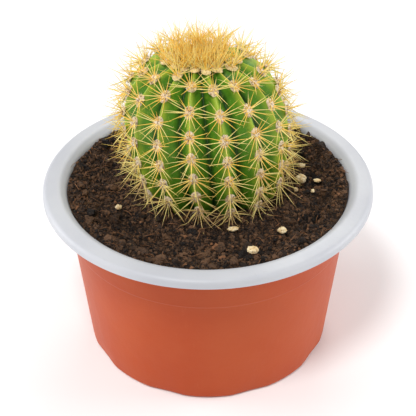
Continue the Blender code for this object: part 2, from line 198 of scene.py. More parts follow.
class StageSettings(bpy.types.PropertyGroup):
    lens: FloatProperty(name="Lens", description="Focal length in millimetres", default=103.85)
    distance: length("Distance", "Distance of the camera from its target", 444.8 * MM)
    target: length("Target height", "Height that the camera looks at", 53.06 * MM)
    elevation: angle("Elevation", "Angle of the camera above the horizon", 35.36)
    roll: angle("Roll", "Turn of the camera about its view", -0.26)
    world: FloatProperty(name="Surroundings", description="Strength of the light all round", default=0.42)
    key: power("Key light", "Power of the light above", 4.2)
    side: power("Side lights", "Power of each side light", 3.0)
    glow: FloatProperty(name="Floor glow", description="Light that the white floor adds itself", default=0.03)


# ---------------- finishes


class Value:
    """A socket that can be used in arithmetic: each operation adds its node."""

    def __init__(self, finish, socket):
        self.finish = finish
        self.socket = socket

    def _join(self, operation, *operands):
        return self.finish.node("ShaderNodeMath", {"operation": operation}, dict(enumerate(operands)))

    def __add__(self, other):
        return self._join("ADD", self, other)

    def __sub__(self, other):
        return self._join("SUBTRACT", self, other)

    def __rsub__(self, other):
        return self._join("SUBTRACT", other, self)

    def __mul__(self, other):
        return self._join("MULTIPLY", self, other)

    __radd__ = __add__
    __rmul__ = __mul__

    def clamp(self):
        return self.finish.node(
            "ShaderNodeMath", {"operation": "ADD", "use_clamp": True}, {0: self, 1: 0.0}
        )


class Finish:
    """One material and its nodes."""

    def __init__(self, name, **constants):
        self.material = bpy.data.materials.new(name)
        self.material.use_nodes = True
        self.tree = self.material.node_tree
        self.shader = self.tree.nodes["Principled BSDF"]
        for socket, value in constants.items():
            self.shader.inputs[socket.replace("_", " ")].default_value = value

    def node(self, kind, settings=None, sockets=None, output=0):
        """Adds a node. Its settings come first, then the values or links of its sockets."""
        made = self.tree.nodes.new(kind)
        for key, value in (settings or {}).items():
            setattr(made, key, value)
        for key, value in (sockets or {}).items():
            if isinstance(value, Value):
                self.tree.links.new(value.socket, made.inputs[key])
            else:
                made.inputs[key].default_value = value
        return Value(self, made.outputs[output])

    def mix(self, share, first, second):
        """A colour between two others."""
        sockets = {0: share, 6: _rgba(first), 7: _rgba(second)}
        return self.node("ShaderNodeMix", {"data_type": "RGBA"}, sockets, output=2)

    def place(self):
        return self.node("ShaderNodeNewGeometry")

    def noise(self, size, detail=3.0, roughness=0.5, stretch=None):
        """Noise from 0 to 1, with features of the given size in metres."""
        where = self.place()
        if stretch:
            where = self.node(
                "ShaderNodeVectorMath", {"operation": "MULTIPLY"}, {0: where, 1: stretch}
            )
        sockets = {"Vector": where, "Scale": 1.0 / size, "Detail": detail, "Roughness": roughness}
        return self.node("ShaderNodeTexNoise", {}, sockets)

    def cells(self, size, randomness=1.0):
        """Distance to the nearest cell centre, in cells of the given size."""
        sockets = {"Vector": self.place(), "Scale": 1.0 / size, "Randomness": randomness}
        return self.node("ShaderNodeTexVoronoi", {}, sockets)

    def band(self, value, low, high):
        """0 below low and 1 above high, smoothly between them."""
        sockets = {"Value": value, "From Min": low, "From Max": high}
        return self.node("ShaderNodeMapRange", {"interpolation_type": "SMOOTHSTEP"}, sockets)

    def stored(self, name):
        return self.node("ShaderNodeAttribute", {"attribute_name": name}, {}, output=2)

    def bump(self, height, distance, strength=1.0):
        sockets = {"Height": height, "Distance": distance, "Strength": strength}
        self.wear("Normal", self.node("ShaderNodeBump", {}, sockets))

    def wear(self, socket, value):
        self.tree.links.new(value.socket, self.shader.inputs[socket])


def _rgba(value):
    return value if isinstance(value, Value) else (*value, 1.0)


def terracotta_finish(pot):
    """Satin thermoformed sheet: cloudy colour, fine handling marks and a faint orange peel."""
    finish = Finish("terracotta_plastic", Specular_IOR_Level=0.3)
    clouds = finish.noise(38 * MM, 3.0, 0.55)
    marks = finish.noise(2.2 * MM, 4.0, 0.6, stretch=(1.0, 1.0, 0.18))
    dust = finish.noise(0.7 * MM, 2.0)
    base = finish.mix(finish.band(clouds, 0.35, 0.68), pot.terracotta, pot.terracotta_pale)
    worn = finish.mix(finish.band(marks, 0.60, 0.80) * 0.22, base, (0.56, 0.13, 0.045))
    specked = finish.mix(finish.band(dust, 0.66, 0.78) * 0.15, worn, (0.30, 0.045, 0.018))
    finish.wear("Base Color", specked)
    finish.wear("Roughness", 0.36 + clouds * 0.10 + marks * 0.10)
    finish.bump(finish.noise(3.0 * MM, 2.0) * 0.6 + dust * 0.2, 0.12 * MM)
    return finish.material


def grey_finish(pot):
    """The pale inner layer, with dust and soft scuffs from the mix."""
    finish = Finish("grey_plastic", Specular_IOR_Level=0.5)
    clouds = finish.noise(24 * MM, 3.0)
    scuffs = finish.noise(1.6 * MM, 4.0, 0.62, stretch=(1.0, 1.0, 3.0))
    base = finish.mix(finish.band(clouds, 0.3, 0.7), pot.grey, (0.57, 0.58, 0.61))
    marked = finish.mix(finish.band(scuffs, 0.62, 0.80) * 0.35, base, (0.42, 0.42, 0.44))
    finish.wear("Base Color", marked)
    finish.wear("Roughness", 0.34 + scuffs * 0.18)
    finish.bump(scuffs * 0.5 + finish.noise(4.0 * MM, 2.0), 0.10 * MM)
    return finish.material


def skin_finish(stem):
    """Waxy skin: pale along the crests, darkening into the grooves with painted shade, with pores and soft
    blotches.
    """
    finish = Finish("green_skin", Specular_IOR_Level=0.45)
    across = finish.stored("across")
    blotches = finish.noise(5.5 * MM, 4.0, 0.6)
    streaks = finish.noise(1.4 * MM, 3.0, 0.5, stretch=(1.0, 1.0, 0.45))
    place = across + (blotches - 0.5) * 0.22
    low = finish.mix(finish.band(place, 0.02, 0.42), stem.crest_green, stem.flank_green)
    # Towards the bottom of each groove the skin darkens to the painted shade green.
    deep = finish.mix(finish.band(place, 0.58, 1.0), low, stem.groove_painted_shade)
    mottled = finish.mix(finish.band(streaks, 0.55, 0.8) * 0.35, deep, stem.crest_green)
    pores = finish.band(finish.cells(0.75 * MM), 0.0, 0.22)
    finish.wear("Base Color", finish.mix((1 - pores) * 0.35, mottled, (0.40, 0.55, 0.16)))
    finish.wear("Roughness", 0.34 + blotches * 0.22)
    finish.bump(streaks * 0.6 + pores * 0.25 + blotches * 0.8, 0.22 * MM)
    return finish.material


def felt_finish(spines):
    """Woolly felt: cream, with brown specks and a fibrous surface."""
    finish = Finish("areole_felt", Specular_IOR_Level=0.15, Sheen_Weight=0.35)
    specks = finish.noise(0.85 * MM, 2.0, 0.6)
    patches = finish.noise(1.8 * MM, 2.0)
    base = finish.mix(finish.band(patches, 0.35, 0.7), spines.felt, (0.88, 0.76, 0.58))
    specked = finish.mix(finish.band(specks, 0.50, 0.62) * 0.9, base, spines.felt_dark)
    finish.wear("Base Color", finish.mix(finish.stored("youth") * 0.7, specked, spines.felt_young))
    finish.wear("Roughness", 0.86 + specks * 0.1)
    finish.bump(specks, 0.35 * MM)
    return finish.material


def spine_finish(spines):
    """Horny spines: tan near the mix, golden above, straw between, some with dark tips."""
    finish = Finish("golden_spines", Specular_IOR_Level=0.5)
    along = finish.stored("along")
    tone = finish.stored("tone")
    age = finish.stored("age")
    young = finish.mix(finish.band(tone, 0.15, 0.75), spines.golden, spines.straw)
    body = finish.mix(finish.band(age + (tone - 0.5) * 0.5, 0.02, 0.30), spines.tan, young)
    root = finish.mix((1 - finish.band(along, 0.0, 0.10)) * 0.35, body, spines.tip)
    dark = finish.band(along, 0.62, 1.0) * finish.band(tone, 0.72, 0.80)
    ringed = finish.noise(0.5 * MM, 2.0)
    tipped = finish.mix(dark * 0.9, root, spines.tip)
    finish.wear("Base Color", finish.mix(ringed * 0.22, tipped, (1.0, 0.85, 0.45)))
    finish.wear("Roughness", 0.34 + ringed * 0.2)
    finish.bump(ringed, 0.05 * MM)
    return finish.material


def mix_finish(mix):
    """Moist peat: each crumb has its own brown, dull and rough, with a few wet glints."""
    finish = Finish("potting_mix", Specular_IOR_Level=0.35)
    tone = finish.stored("tone")
    grit = finish.noise(0.6 * MM, 5.0, 0.65)
    clouds = finish.noise(9.0 * MM, 3.0)
    shade = (tone * 0.5 + grit * 0.9 + clouds * 0.2 - 0.45).clamp()
    base = finish.mix(finish.band(shade, 0.12, 0.62), mix.dark, mix.brown)
    finish.wear("Base Color", finish.mix(finish.band(tone, 0.955, 0.975) * 0.8, base, mix.rust))
    finish.wear("Roughness", 0.42 + finish.band(grit, 0.35, 0.6) * 0.45)
    finish.bump(grit, 0.8 * MM)
    return finish.material


def grain_finish(mix):
    """Chalky pale grains with tan stains and pits."""
    finish = Finish("pale_grain", Specular_IOR_Level=0.3)
    stains = finish.noise(1.3 * MM, 4.0, 0.6)
    pits = finish.band(finish.cells(0.8 * MM), 0.05, 0.35)
    base = finish.mix(finish.band(stains, 0.35, 0.65), (0.88, 0.74, 0.48), mix.grain)
    dirty = finish.mix(finish.band(finish.noise(2.0 * MM, 3.0), 0.58, 0.72) * 0.6, base, (0.25, 0.13, 0.06))
    finish.wear("Base Color", finish.mix((1 - pits) * 0.6, dirty, (0.30, 0.17, 0.08)))
    finish.wear("Roughness", 0.7 + stains * 0.2)
    finish.bump(pits * 0.6 + stains * 0.4, 0.3 * MM)
    return finish.material


# ---------------- mesh helpers


def add_piece(name, vertices, faces, material, nodes, attributes=None, smooth=True):
    """Makes a piece that rides on the pot's body and stands for the CAD nodes."""
    mesh = bpy.data.meshes.new(name)
    mesh.from_pydata(np.asarray(vertices).tolist(), [], [tuple(face) for face in faces])
    for key, values in (attributes or {}).items():
        layer = mesh.attributes.new(key, "FLOAT", "POINT")
        layer.data.foreach_set("value", np.asarray(values, dtype=np.float32))
    return add_mesh(name, mesh, material, nodes, smooth)


def add_mesh(name, mesh, material, nodes, smooth=True):
    """Adds a finished mesh in the same way."""
    mesh.materials.append(material)
    if smooth:
        mesh.shade_smooth()
    piece = bpy.data.objects.new(name, mesh)
    bpy.context.scene.collection.objects.link(piece)
    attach(piece, "root")
    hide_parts(*nodes)
    return piece


def grid_faces(rows, columns, closed=True):
    """Quads of a grid whose columns join up when it is closed."""
    span = columns if closed else columns - 1
    row, column = np.meshgrid(np.arange(rows - 1), np.arange(span), indexing="ij")
    after = (column + 1) % columns
    here, above = row * columns, (row + 1) * columns
    corners = (here + column, here + after, above + after, above + column)
    return np.stack(corners, -1).reshape(-1, 4)


def turned(profile, segments):
    """Vertices and faces of a profile turned about Z."""
    angles = np.linspace(0, 2 * math.pi, segments, endpoint=False)
    radius, height = np.array(profile).T
    x = radius[:, None] * np.cos(angles)
    y = radius[:, None] * np.sin(angles)
    z = np.repeat(height[:, None], segments, axis=1)
    return np.stack((x, y, z), -1).reshape(-1, 3), grid_faces(len(profile), segments)


def merged(name, vertices, faces, threshold=0.001 * MM):
    """A mesh whose coincident points are one."""
    mesh = bpy.data.meshes.new(name)
    mesh.from_pydata(np.asarray(vertices).tolist(), [], [tuple(face) for face in faces])
    bm = bmesh.new()
    bm.from_mesh(mesh)
    bmesh.ops.remove_doubles(bm, verts=bm.verts, dist=threshold)
    bmesh.ops.recalc_face_normals(bm, faces=bm.faces)
    bm.to_mesh(mesh)
    bm.free()
    return mesh


def rounded(corners, steps=7):
    """The outline through (x, y, radius) corners, each turned in a curve of its own radius."""
    points = [np.array(corners[0][:2])]
    for before, corner, after in zip(corners, corners[1:], corners[2:]):
        here = np.array(corner[:2])
        arms = [np.array(end[:2]) - here for end in (before, after)]
        lengths = [np.linalg.norm(arm) for arm in arms]
        arms = [arm / size for arm, size in zip(arms, lengths)]
        half = math.acos(max(-1.0, min(1.0, float(arms[0] @ arms[1])))) / 2
        reach = min(corner[2] / math.tan(half), 0.48 * min(lengths)) if corner[2] else 0.0
        start, end = here + arms[0] * reach, here + arms[1] * reach
        for t in np.linspace(0, 1, steps if reach else 1):
            points.append((1 - t) ** 2 * start + 2 * t * (1 - t) * here + t**2 * end)
    points.append(np.array(corners[-1][:2]))
    return np.array(points)


def shifted(path, distance):
    """The path moved to its left. Its first point stays on the axis."""
    steps = np.gradient(path, axis=0)
    steps /= np.linalg.norm(steps, axis=1)[:, None]
    moved = path + np.stack((-steps[:, 1], steps[:, 0]), -1) * distance
    moved[0, 0] = 0.0
    return moved


def fade(values, start, end):
    """0 up to start and 1 from end, smoothly between them."""
    share = np.clip((values - start) / (end - start), 0.0, 1.0)
    return share * share * (3 - 2 * share)


def tubes(paths, radii, sides):
    """Tapered tubes. paths holds (tube, point, xyz) and radii (tube, point)."""
    count, points, _ = paths.shape
    tangents = np.gradient(paths, axis=1)
    tangents /= np.linalg.norm(tangents, axis=2)[..., None] + 1e-12
    helper = np.where(np.abs(tangents[:, :1, 2:]) > 0.9, np.array((1.0, 0, 0)), UP)
    first = np.cross(tangents, np.broadcast_to(helper, tangents.shape))
    first /= np.linalg.norm(first, axis=2)[..., None] + 1e-12
    second = np.cross(tangents, first)
    angles = np.linspace(0, 2 * math.pi, sides, endpoint=False)
    spokes = first[:, :, None] * np.cos(angles)[:, None] + second[:, :, None] * np.sin(angles)[:, None]
    vertices = (paths[:, :, None] + spokes * radii[:, :, None, None]).reshape(-1, 3)
    one = grid_faces(points, sides)
    faces = (np.arange(count)[:, None, None] * points * sides + one).reshape(-1, 4)
    return vertices, faces


# ---------------- pot


def wall_radius(pot, height):
    """Outer radius of the wall, which widens evenly upwards."""
    return pot.foot_radius + pot.slope * height


def sheet_path(pot):
    """The outer face of the sheet, from the middle of the base to the end of the rim's skirt."""
    flange = pot.rim_top - pot.sheet
    flare = flange - 3.6 * MM
    skirt = pot.rim_radius - pot.sheet
    step = pot.ring_step
    ring = wall_radius(pot, pot.ring_height)
    flare_radius = wall_radius(pot, flare) + step
    return rounded([
        (0.0, pot.base_lift, 0.0),
        (FOOT_RING_START, pot.base_lift, 1.2 * MM),
        (FOOT_RING_RADIUS, 0.0, 1.2 * MM),
        (pot.foot_radius, 0.0, 1.9 * MM),
        (wall_radius(pot, FLUTE_TOP), FLUTE_TOP, 0.0),
        (wall_radius(pot, 28 * MM), 28 * MM, 0.0),
        (ring, pot.ring_height, 0.5 * MM),
        (ring + step, pot.ring_height + 0.7 * MM, 0.5 * MM),
        (flare_radius, flare, 1.5 * MM),
        (flare_radius + 0.7 * MM, flare + 2.4 * MM, 1.6 * MM),
        (pot.rim_radius - pot.rim_width, flange, 2.0 * MM),
        (skirt, flange - 0.3 * MM, 0.5 * MM),
        (skirt + 0.1 * MM, pot.rim_top - pot.skirt_drop, 0.0),
    ])


def flute(pot, vertices):
    """Draws the foot of the wall in beside each drain hole, and gives the sheet its slight waviness."""
    radius = np.hypot(vertices[:, 0], vertices[:, 1])
    azimuth = np.arctan2(vertices[:, 1], vertices[:, 0])
    wave = np.maximum(0.0, np.cos(DRAIN_COUNT * (azimuth - math.radians(FIRST_DRAIN_DEGREES)))) ** 1.3
    low = 1 - fade(vertices[:, 2], FLUTE_FULL_HEIGHT, FLUTE_TOP)
    outer = fade(radius, 40.6 * MM, 42.4 * MM)
    waviness = WAVINESS * np.sin(3 * azimuth + 0.8) * fade(vertices[:, 2], 8 * MM, 40 * MM)
    moved = pot.flute_depth * wave * low * outer - waviness
    share = 1 - moved / np.maximum(radius, 1 * MM)
    return vertices * np.stack((share, share, np.ones_like(share)), -1)


def drain_cutter():
    """The round bars that cut the drain holes."""
    bm = bmesh.new()
    for turn in range(DRAIN_COUNT):
        azimuth = math.radians(FIRST_DRAIN_DEGREES + 360 // DRAIN_COUNT * turn)
        where = Vector((DRAIN_CIRCLE * math.cos(azimuth), DRAIN_CIRCLE * math.sin(azimuth), DRAIN_LEVEL))
        bmesh.ops.create_cone(
            bm, cap_ends=True, segments=40, radius1=DRAIN_RADIUS, radius2=DRAIN_RADIUS, depth=DRAIN_CUT,
            matrix=Matrix.Translation(where),
        )
    mesh = bpy.data.meshes.new("drain_cutter")
    bm.to_mesh(mesh)
    bm.free()
    cutter = bpy.data.objects.new("drain_cutter", mesh)
    bpy.context.scene.collection.objects.link(cutter)
    return cutter


def make_pot(pot):
    """Both layers of the sheet, with the drain holes cut through them."""
    path = sheet_path(pot)
    middle = pot.sheet / 2
    cutter = drain_cutter()
    layers = (
        ("pot_outer_wall", 0.0, middle, terracotta_finish(pot), "terracotta_plastic", "pot_outer_layer"),
        ("pot_lining_and_rim", middle, pot.sheet, grey_finish(pot), "grey_plastic", "pot_inner_layer"),
    )
    for name, outer, inner, material, slot, node in layers:
        inside = shifted(path, inner)
        outside = shifted(path, outer)[::-1]
        vertices, faces = turned(np.concatenate((inside, outside)), 360)
        mesh = merged(name, flute(pot, vertices), faces)
        piece = add_mesh(name, mesh, material, [node], smooth=False)
        cut = piece.modifiers.new("drain_holes", "BOOLEAN")
        cut.operation = "DIFFERENCE"
        cut.solver = "MANIFOLD"
        cut.object = cutter
        graph = bpy.context.evaluated_depsgraph_get()
        piece.data = bpy.data.meshes.new_from_object(piece.evaluated_get(graph))
        piece.modifiers.clear()
        piece.data.shade_smooth()
        piece.data.set_sharp_from_angle(angle=math.radians(40))
    bpy.data.objects.remove(cutter)


# ---------------- stem


class Shape:
    """The stem's crest line and the places on it."""

    def __init__(self, stem):
        self.stem = stem
        self.rib_step = 2 * math.pi / stem.ribs
        self.turns = np.linspace(0.0, 0.8 * math.pi, 3000)
        radius, height = self.crest(self.turns)
        steps = np.hypot(np.diff(radius), np.diff(height))
        self.distances = np.concatenate(((0.0,), np.cumsum(steps)))

    def crest(self, turn):
        """(radius, height) on a crest: turn is 0 at the crown's centre and pi at the root."""
        level = np.cos(turn)
        crown = self.stem.radius * np.maximum(np.sin(turn), 0.0) ** CROWN_FLATNESS
        power, root = BASE_FULLNESS
        foot = self.stem.radius * np.maximum(0.0, 1 - np.maximum(-level, 0.0) ** power) ** root
        radius = np.where(level >= 0, crown, foot)
        height = self.stem.widest + level * np.where(level >= 0, self.stem.above, self.stem.below)
        return radius, height - CROWN_DIP * np.exp(-((radius / CROWN_DIP_SIZE) ** 2))

    def normal(self, turn):
        """(outward, upward) share of the direction that stands on the crest line."""
        before = self.crest(np.maximum(turn - 0.01, 0.001))
        after = self.crest(np.minimum(turn + 0.01, math.pi - 0.001))
        along = np.stack((after[0] - before[0], after[1] - before[1]), -1)
        along /= np.linalg.norm(along, axis=-1)[..., None]
        return -along[..., 1], along[..., 0]

    def place(self, radius, azimuth, height):
        """The point at a radius and height of the leaning stem."""
        lean = STEM_LEAN * (height - self.stem.widest)
        shape = np.stack((radius * np.cos(azimuth) + lean, radius * np.sin(azimuth), height), -1)
        return STEM_CENTRE + shape

    def seat(self, rib, distance):
        """The point on a rib's crest, with its outward, sideways and downward directions."""
        turn = np.interp(distance, self.distances, self.turns)
        azimuth = FIRST_RIB + rib * self.rib_step
        radius, height = self.crest(turn)
        out, rise = self.normal(turn)
        outward = np.array((math.cos(azimuth), math.sin(azimuth), 0.0))
        normal = outward * out + UP * rise
        side = np.array((-outward[1], outward[0], 0.0))
        return self.place(radius, azimuth, height), normal, side, np.cross(side, normal)


def areole_distances(rib):
    """Where the areoles of a rib sit, as distances along its crest from the middle of the crown."""
    places = [(FIRST_AREOLE_MM[rib % len(FIRST_AREOLE_MM)] + step) * MM for step in AREOLE_STEPS_MM]
    return [distance for distance in places if distance < LAST_AREOLE]


def make_stem(stem):
    """The ribbed skin, swollen under each areole and slightly uneven."""
    shape = Shape(stem)
    columns, rings = RIB_COLUMNS * stem.ribs, STEM_RINGS
    turns = np.linspace(0.004, math.pi * 0.985, rings)
    radius, height = shape.crest(turns)
    out, rise = shape.normal(turns)
    along = np.interp(turns, shape.turns, shape.distances)
    position = np.arange(columns) / RIB_COLUMNS
    across = np.abs((position + 0.5) % 1.0 - 0.5) * 2
    fall = np.sqrt(across**2 + GROOVE_ROUNDING**2) - GROOVE_ROUNDING
    fall = (fall / (math.sqrt(1 + GROOVE_ROUNDING**2) - GROOVE_ROUNDING)) ** 0.72
    depth = np.minimum(stem.groove, GROOVE_SHARE * radius)[:, None] * fall
    nearest = np.round(position).astype(int) % stem.ribs
    swell = np.zeros((rings, columns))
    for rib in range(stem.ribs):
        lobes = sum(np.exp(-(((along - distance) / (2.3 * MM)) ** 2)) for distance in areole_distances(rib))
        chosen = nearest == rib
        swell[:, chosen] = lobes[:, None] * (np.maximum(0.0, 1 - across[chosen] * 1.6) ** 1.5)
    lift = stem.swelling * (swell - 0.45 * (1 - across) ** 2) - depth
    wobble = np.array([
        [noise.noise(Vector((c * 0.13, r * 0.05, 2.0))) for c in range(columns)] for r in range(rings)
    ])
    lift += 0.16 * MM * wobble * fade(radius, 2 * MM, 8 * MM)[:, None]
    lift[-1] = 0.0
    azimuth = FIRST_RIB + position * shape.rib_step
    reach = np.maximum(radius[:, None] + lift * out[:, None], 0.05 * MM)
    vertices = shape.place(reach, azimuth[None, :], height[:, None] + lift * rise[:, None]).reshape(-1, 3)
    faces = [tuple(face[::-1]) for face in grid_faces(rings, columns)]
    faces.append(tuple(range(columns)))
    faces.append(tuple(range((rings - 1) * columns, rings * columns))[::-1])
    attributes = {"across": np.tile(across, rings)}
    skin = skin_finish(stem)
    add_piece("cactus_stem_skin", vertices, faces, skin, ["cactus_stem"], attributes)


# ---------------- areoles and spines


def felt_pad(seat, width, tall, height, seed):
    """A woolly dome on a crest."""
    point, normal, side, down = seat
    rings, columns = 9, 28
    level = np.linspace(0.0, 1.0, rings)[:, None]
    angle = np.linspace(0, 2 * math.pi, columns, endpoint=False)[None, :]
    spread = np.cos(level * math.pi / 2) ** 0.7
    rough = np.array([
        [noise.noise(Vector((math.cos(a) * 2.2, math.sin(a) * 2.2, v * 2.5 + seed * 7.1))) for a in angle[0]]
        for v in level[:, 0]
    ])
    spread = spread * (1 + 0.22 * rough)
    lift = height * (np.sin(level * math.pi / 2) * (1 + 0.25 * rough) - 0.45)
    offset = (
        (spread * np.sin(angle) * width)[..., None] * side
        + (spread * np.cos(angle) * tall)[..., None] * down
        + lift[..., None] * normal
    )
    vertices = (point + offset).reshape(-1, 3)
    faces = [tuple(face) for face in grid_faces(rings, columns)]
    faces.append(tuple(range((rings - 1) * columns, rings * columns)))
    return vertices, faces


def felt_hairs(seat, width, tall, height, rng, count):
    """Short curly hairs that stand out of a pad."""
    point, normal, side, down = seat
    angle = rng.uniform(0, 2 * math.pi, count)
    spread = np.sqrt(rng.uniform(0.1, 1.0, count))
    root = (
        point
        + (np.sin(angle) * spread * width * 0.95)[:, None] * side
        + (np.cos(angle) * spread * tall * 0.95)[:, None] * down
        + (height * (0.75 - 0.8 * spread))[:, None] * normal
    )
    lean = np.sin(angle)[:, None] * side + np.cos(angle)[:, None] * down
    curl = rng.normal(0, 0.5, (count, 3))
    reach = rng.uniform(0.5, 1.25, count)[:, None] * MM
    t = np.linspace(0, 1, 4)[None, :, None]
    heading = (lean * 0.7 + normal)[:, None]
    paths = root[:, None] + (heading * t + curl[:, None] * t**2 * 0.7) * reach[:, None]
    radii = np.repeat((0.06 * MM * np.linspace(1, 0.3, 4))[None], count, axis=0)
    return tubes(paths, radii, 3)


def spine_paths(seat, angles, rises, lengths, rng):
    """Centre lines of one areole's spines, gently bowed, from inside the pad to their tips."""
    point, normal, side, down = seat
    flat = np.cos(angles)[:, None] * down + np.sin(angles)[:, None] * side
    heading = flat * np.cos(rises)[:, None] + normal * np.sin(rises)[:, None]
    bow = normal * rng.normal(0.03, 0.05, len(angles))[:, None] + rng.normal(0, 0.03, (len(angles), 3))
    t = np.linspace(0, 1, SPINE_POINTS)[None, :, None]
    start = point + flat * 0.55 * MM + normal * 0.15 * MM
    return start[:, None] + (heading[:, None] * t + bow[:, None] * t**2) * lengths[:, None, None]


class Bundle:
    """Collects the meshes of one row or crown: its felt, and its spines with their colours."""

    def __init__(self, seed):
        self.rng = np.random.default_rng(seed)
        self.felt = []
        self.spines = []

    def add_felt(self, part, youth):
        self.felt.append((*part, np.full(len(part[0]), youth)))

    def add_areole(self, seat, spines, scale, youth, spread):
        """One areole. youth is 1 at the crown; spread narrows the fan of spines where ribs crowd."""
        rng = self.rng
        width = spines.pad_width * scale
        tall = width * PAD_STRETCH
        self.add_felt(felt_pad(seat, width, tall, spines.pad_height * scale, rng.uniform(0, 50)), youth)
        self.add_felt(felt_hairs(seat, width, tall, spines.pad_height * scale, rng, PAD_HAIRS), youth)
        angles = np.concatenate((COMB_ANGLES, -COMB_ANGLES, MIDDLE_ANGLES))
        angles = angles + rng.normal(0, 0.10, len(angles))
        rises = np.concatenate((np.full(2 * len(COMB_ANGLES), COMB_RISE), MIDDLE_RISES))
        rises = rises + rng.normal(0, 0.10, len(angles))
        lengths = spines.length * np.concatenate((COMB_LENGTHS, COMB_LENGTHS, MIDDLE_LENGTHS))
        lengths = lengths * rng.uniform(0.82, 1.12, len(angles)) * (0.72 + 0.28 * scale)
        rises = rises + youth * math.radians(20) + (1 - spread) * math.radians(22)
        rises = np.minimum(rises + youth * rng.normal(0, 0.22, len(rises)), STEEPEST_SPINE)
        keep = rng.uniform(0, 1, len(angles)) > MISSING_SPINES
        angles, rises, lengths = angles[keep], rises[keep], lengths[keep]
        self.add_spines(seat, spines, angles, rises, lengths)

    def add_spines(self, seat, spines, angles, rises, lengths, age=None):
        """Spines of one seat. age is 0 at the mix and 1 at the crown, and the seat's height gives it."""
        rng = self.rng
        paths = spine_paths(seat, angles, rises, lengths, rng)
        floor = MIX_LEVEL + 0.9 * MM
        paths[..., 2] = np.maximum(paths[..., 2], floor + 0.3 * MM * rng.uniform(0, 1, len(angles))[:, None])
        taper = np.linspace(1, 0, SPINE_POINTS) ** 0.75
        radii = spines.thickness * rng.uniform(0.8, 1.1, len(angles))[:, None] * (0.06 + 0.94 * taper)
        vertices, faces = tubes(paths, radii, SPINE_SIDES)
        along = np.repeat(np.tile(np.linspace(0, 1, SPINE_POINTS), len(angles)), SPINE_SIDES)
        tone = np.repeat(rng.uniform(0, 1, len(angles)), SPINE_POINTS * SPINE_SIDES)
        height = (seat[0][2] - floor) / (STEM_BOX[1][2] - floor)
        share = np.full(len(vertices), height if age is None else age)
        self.spines.append((vertices, faces, {"along": along, "tone": tone, "age": share}))

    def finish(self, name, nodes, felt, horn):
        """Adds the felt and the spines as two pieces."""
        vertices, faces = joined([part[:2] for part in self.felt])
        attributes = {"youth": np.concatenate([part[2] for part in self.felt])}
        add_piece(name + "_felt", vertices, faces, felt, nodes, attributes)
        vertices, faces = joined([part[:2] for part in self.spines])
        attributes = {
            key: np.concatenate([part[2][key] for part in self.spines]) for key in ("along", "tone", "age")
        }
        add_piece(name + "_spines", vertices, faces, horn, nodes, attributes)


def joined(parts):
    """Several (vertices, faces) as one."""
    vertices = np.concatenate([part[0] for part in parts])
    faces, start = [], 0
    for points, polygons in parts:
        faces.extend(tuple(int(i) + start for i in polygon) for polygon in polygons)
        start += len(points)
    return vertices, faces


def make_rows(stem, spines):
    """One bundle of felt and spines for each rib."""
    shape = Shape(stem)
    felt, horn = felt_finish(spines), spine_finish(spines)
    for rib, node in enumerate(ROW_NODES):
        bundle = Bundle(100 + rib)
        for distance in areole_distances(rib):
            youth = float(1 - fade(np.array(distance), 8 * MM, 24 * MM))
            point, normal, side, down = shape.seat(rib, distance)
            from_axis = math.hypot(*(point - STEM_CENTRE)[:2])
            scale = min(1.0, 1.05 * from_axis * math.tan(shape.rib_step / 2) / spines.pad_width)
            seat = (point + normal * stem.swelling * 0.55, normal, side, down)
            bundle.add_areole(seat, spines, scale, youth, min(1.0, from_axis / FULL_FAN_RADIUS))
        bundle.finish(node, [node], felt, horn)


def make_crown(stem, spines):
    """The felt of the growing point, ringed by very young areoles with upright spines."""
    shape = Shape(stem)
    bundle = Bundle(77)
    rng = bundle.rng
    centre = shape.place(np.array(0.0), 0.0, shape.crest(np.array(0.0))[1])
    top = (centre + UP * 0.5 * MM, UP, np.array((0.0, 1.0, 0.0)), np.array((1.0, 0.0, 0.0)))
    bundle.add_felt(felt_pad(top, CROWN_PAD, CROWN_PAD, 2.6 * MM, 3.0), 1.0)
    bundle.add_felt(felt_hairs(top, CROWN_PAD, CROWN_PAD, 2.4 * MM, rng, CROWN_HAIRS), 1.0)
    for rib in range(stem.ribs):
        first = areole_distances(rib)[0]
        for step, scale in YOUNG_AREOLES:
            distance = first - step
            if distance > 2.6 * MM:
                point, normal, side, down = shape.seat(rib, distance)
                seat = (point + normal * 0.3 * MM, normal, side, down)
                bundle.add_areole(seat, spines, scale, 0.8, 0.45)
    for angle in rng.uniform(0, 2 * math.pi, CROWN_SPINES):
        reach = math.sqrt(rng.uniform(0.02, 1.0)) * 5.0 * MM
        outward = np.array((math.cos(angle), math.sin(angle), 0.0))
        lean = outward + np.array((*rng.normal(0, 0.7, 2), 0.0))
        lean /= np.linalg.norm(lean)
        seat = (centre + outward * reach + UP * 0.8 * MM, UP, np.cross(UP, lean), lean)
        rise = np.array((math.radians(rng.uniform(70, 88) - rng.uniform(2, 11) * reach / MM),))
        size = spines.length * np.array((rng.uniform(0.7, 1.15),))
        bundle.add_spines(seat, spines, np.zeros(1), rise, size, age=1.0)
    bundle.finish("crown", ["crown_wool_and_spines"], felt_finish(spines), spine_finish(spines))


# ---------------- potting mix


def stem_distance(x, y):
    """Distance from the middle of the stem where it enters the mix."""
    return np.hypot(x - STEM_CENTRE[0] - 2.3 * MM, y - STEM_CENTRE[1])


def mix_height(x, y):
    """Height of the mix: uneven, and higher round the stem and against the wall."""
    level = MIX_LEVEL + MIX_EDGE_RISE * float(fade(np.hypot(x, y), MIX_EDGE_START, MIX_EDGE_END))
    where = Vector((x, y, 0.0))
    relief = 1.2 * noise.noise(where / (14 * MM)) + 1.4 * noise.noise(where / (5 * MM) + Vector((3, 1, 0)))
    clods = noise.voronoi(where / (2.6 * MM))[0][0]
    fine = noise.fractal(where / (1.3 * MM), 0.7, 2.0, 3)
    mound = 1.3 * math.exp(-((max(0.0, float(stem_distance(x, y)) - 25 * MM) / (7 * MM)) ** 2))
    return level + (relief + mound - 1.3 * clods + 0.6 * fine) * MM


